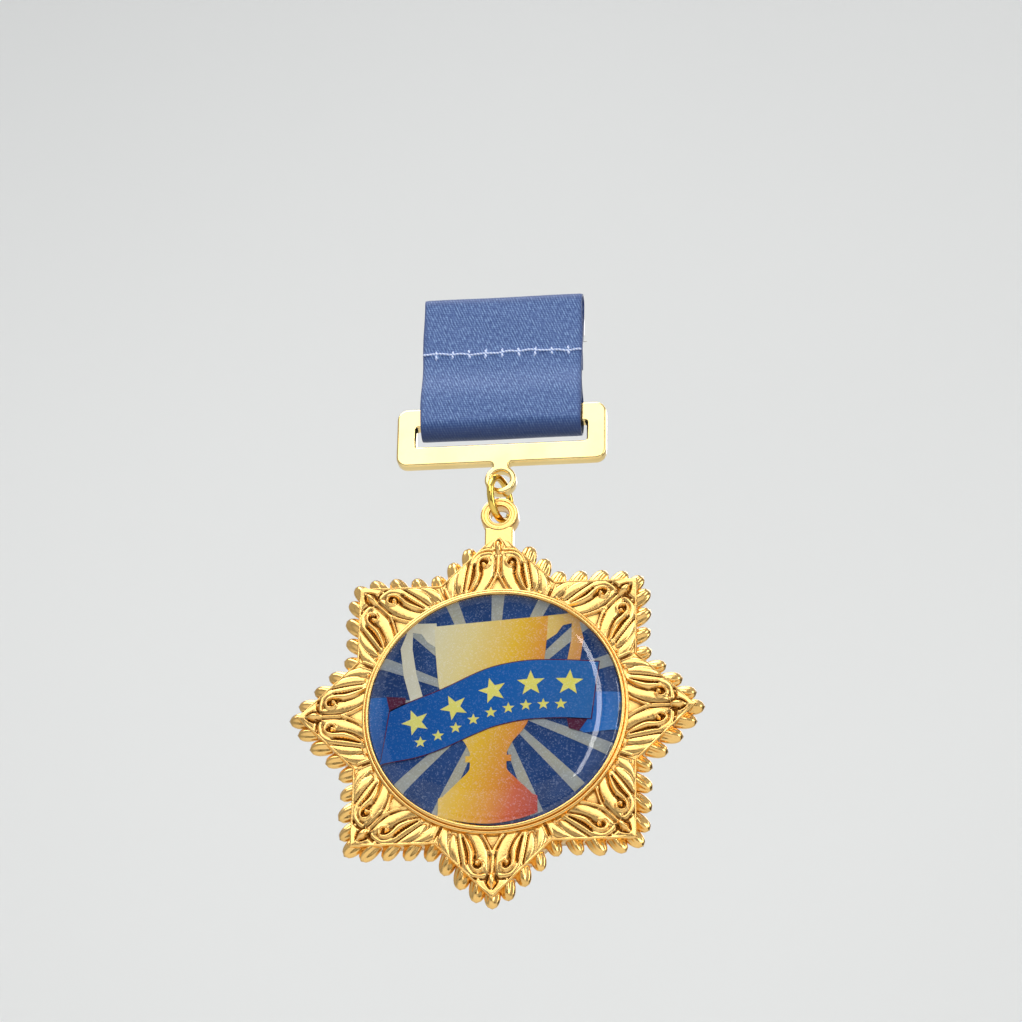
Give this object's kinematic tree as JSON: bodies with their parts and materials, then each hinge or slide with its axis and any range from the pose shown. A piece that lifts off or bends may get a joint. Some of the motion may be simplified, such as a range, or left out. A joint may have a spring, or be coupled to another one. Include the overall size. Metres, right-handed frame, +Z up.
{
  "type": "award medal",
  "caption": "Star-shaped gold-tone award medal with a domed printed centre, hung by a jump ring from a flat buckle on a sewn blue ribbon with a pin brooch behind.",
  "frame": {"origin": "middle of the brooch needle, on its axis, where the wearer's cloth carries the medal", "axes": "+Z up as worn, the front of the medal faces -Y, +X to the right seen from the front"},
  "size_m": [0.062, 0.0116, 0.1032],
  "materials": {
    "ribbon_fabric": "satin woven polyester",
    "sewing_thread": "twisted polyester thread",
    "gold_plate": "polished gold plate on cast zinc alloy",
    "printed_insert": "printed glitter foil",
    "clear_resin": "clear domed epoxy resin",
    "nickel_steel": "nickel-plated steel"
  },
  "bodies": {
    "ribbon": {"ribbon": "ribbon_fabric", "seam_thread": "sewing_thread", "seam_bobbin_thread": "sewing_thread", "brooch_base": "nickel_steel", "brooch_rivet": "nickel_steel", "brooch_stitch_left": "sewing_thread", "brooch_stitch_right": "sewing_thread"},
    "buckle": {"buckle": "gold_plate"},
    "ring": {"jump_ring": "gold_plate"},
    "pendant": {"star_casting": "gold_plate", "printed_disc": "printed_insert", "resin_dome": "clear_resin"},
    "needle": {"brooch_needle": "nickel_steel"},
    "catch": {"catch_rotor": "nickel_steel"}
  },
  "joints": [
    {"name": "buckle_tilt", "type": "hinge", "parent": "ribbon", "child": "buckle", "pos_m": [0, -0.00635, -0.01681], "axis": [1, 0, 0], "range_deg": [-45, 45]},
    {"name": "ring_flop", "type": "hinge", "parent": "buckle", "child": "ring", "pos_m": [0, -0.00635, -0.03001], "axis": [1, 0, 0], "range_deg": [-40, 40]},
    {"name": "pendant_swing", "type": "hinge", "parent": "ring", "child": "pendant", "pos_m": [0, -0.00635, -0.03439], "axis": [0, 1, 0], "range_deg": [-35, 35]},
    {"name": "pin_open", "type": "hinge", "parent": "ribbon", "child": "needle", "pos_m": [-0.0109, 0, 0], "axis": [0, 0, 1], "range_deg": [0, 90]},
    {"name": "catch_turn", "type": "hinge", "parent": "ribbon", "child": "catch", "pos_m": [0.0105, 0, 0], "axis": [-1, 0, 0], "range_deg": [0, 90]}
  ]
}
